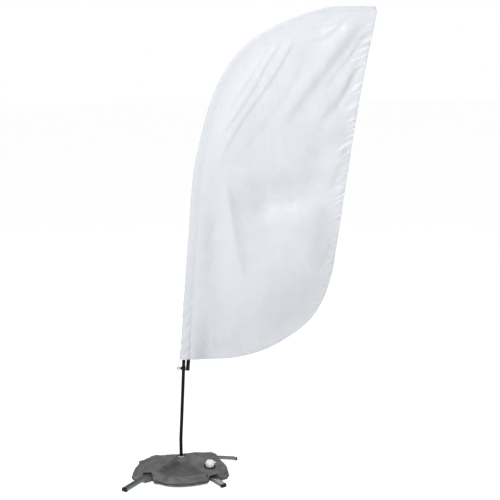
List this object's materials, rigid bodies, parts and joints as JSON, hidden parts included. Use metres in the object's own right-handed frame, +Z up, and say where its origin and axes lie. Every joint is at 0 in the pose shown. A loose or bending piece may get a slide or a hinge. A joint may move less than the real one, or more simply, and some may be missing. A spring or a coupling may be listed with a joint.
{
  "type": "feather flag",
  "caption": "Free-standing feather banner: plain white cloth on a curved plug-together pole, turning on a folding cross base under a water bag.",
  "frame": {"origin": "on the floor, below the middle of the bounding box; the mast's axis stands at x = -0.465 m, y = 0", "axes": "+Z up; the flag hangs in the XZ plane and flies towards +X; -Y is the side seen in the picture"},
  "size_m": [1.6646, 0.7354, 3.0528],
  "materials": {
    "zinc_steel": "satin zinc-plated",
    "bearing_steel": "ground",
    "chrome": "polished",
    "black_paint": "semi-gloss black",
    "fibreglass": "black glass-fibre tube",
    "black_plastic": "moulded",
    "nylon": "natural",
    "white_polyester": "plain white knitted polyester",
    "white_webbing": "woven",
    "black_webbing": "woven",
    "grey_vinyl": "coated cloth",
    "grey_plastic": "moulded",
    "white_plastic": "moulded",
    "seal_rubber": "matt"
  },
  "bodies": {
    "base": {"lower_leg_bar": "zinc_steel", "lower_cap_back_left": "black_plastic", "lower_cap_front_right": "black_plastic", "spindle_bolt": "bearing_steel", "bolt_washer": "zinc_steel", "pivot_washer": "nylon", "spindle_flange": "chrome", "bearing_spacer": "zinc_steel", "lower_bearing_inner": "bearing_steel", "upper_bearing_inner": "bearing_steel", "spindle_nut": "bearing_steel"},
    "upper_leg": {"upper_leg_bar": "zinc_steel", "upper_cap_front_left": "black_plastic", "upper_cap_back_right": "black_plastic"},
    "rotor": {"rotor_sleeve": "chrome", "lower_bearing_outer": "bearing_steel", "upper_bearing_outer": "bearing_steel"},
    "lower_cage": {"lower_ball_cage": "bearing_steel"},
    "upper_cage": {"upper_ball_cage": "bearing_steel"},
    "mast": {"pole_base_tube": "black_paint", "pole_mid_section": "fibreglass", "pole_upper_section": "fibreglass", "pole_tip_section": "fibreglass", "lower_ferrule": "zinc_steel", "middle_ferrule": "zinc_steel", "upper_ferrule": "zinc_steel", "pole_tip_cap": "black_plastic", "flag_sleeve": "white_polyester", "flag_panel": "white_polyester", "tip_pocket": "white_webbing", "tension_strap": "black_webbing"},
    "collar": {"tension_collar": "black_plastic"},
    "screw": {"thumb_screw": "zinc_steel"},
    "bag": {"water_bag": "grey_vinyl", "filler_neck": "grey_plastic"},
    "tether": {"tether_ring": "white_plastic"},
    "cap": {"filler_cap": "white_plastic", "cap_gasket": "seal_rubber"}
  },
  "joints": [
    {"name": "leg_fold", "type": "hinge", "parent": "base", "child": "upper_leg", "pos_m": [-0.46465, 0, 0.11], "axis": [0, 0, 1], "range_deg": [0, 90], "deforming": ["water_bag"]},
    {"name": "mast_spin", "type": "hinge", "parent": "base", "child": "rotor", "pos_m": [-0.46465, 0, 0.18], "axis": [0, 0, 1], "continuous": true},
    {"name": "lower_cage_spin", "type": "hinge", "parent": "base", "child": "lower_cage", "pos_m": [-0.46465, 0, 0.13657], "axis": [0, 0, 1], "continuous": true},
    {"name": "upper_cage_spin", "type": "hinge", "parent": "base", "child": "upper_cage", "pos_m": [-0.46465, 0, 0.22407], "axis": [0, 0, 1], "continuous": true},
    {"name": "mast_lift", "type": "slide", "parent": "rotor", "child": "mast", "axis": [0, 0, 1], "range_m": [0, 0.11]},
    {"name": "collar_slide", "type": "slide", "parent": "mast", "child": "collar", "axis": [0.0464, 0, 0.9989], "range_m": [0, 0.03], "deforming": ["tension_strap"]},
    {"name": "screw_turn", "type": "hinge", "parent": "collar", "child": "screw", "pos_m": [-0.43857, 0, 0.722], "axis": [-0.9989, 0, 0.0464], "range_deg": [0, 1080]},
    {"name": "bag_lift", "type": "slide", "parent": "base", "child": "bag", "axis": [0, 0, 1], "range_m": [0, 0.15]},
    {"name": "cap_rise", "type": "slide", "parent": "bag", "child": "tether", "axis": [0.0976, -0.1952, 0.9759], "range_m": [0, 0.0212]},
    {"name": "cap_turn", "type": "hinge", "parent": "tether", "child": "cap", "pos_m": [-0.27265, -0.14, 0.1], "axis": [0.0976, -0.1952, 0.9759], "range_deg": [0, 1260]}
  ],
  "couplings": [
    {"joint": "lower_cage_spin", "follows": "mast_spin", "ratio": 0.562},
    {"joint": "upper_cage_spin", "follows": "mast_spin", "ratio": 0.562},
    {"joint": "cap_rise", "follows": "cap_turn", "m_per_rad": 0.00095493}
  ]
}
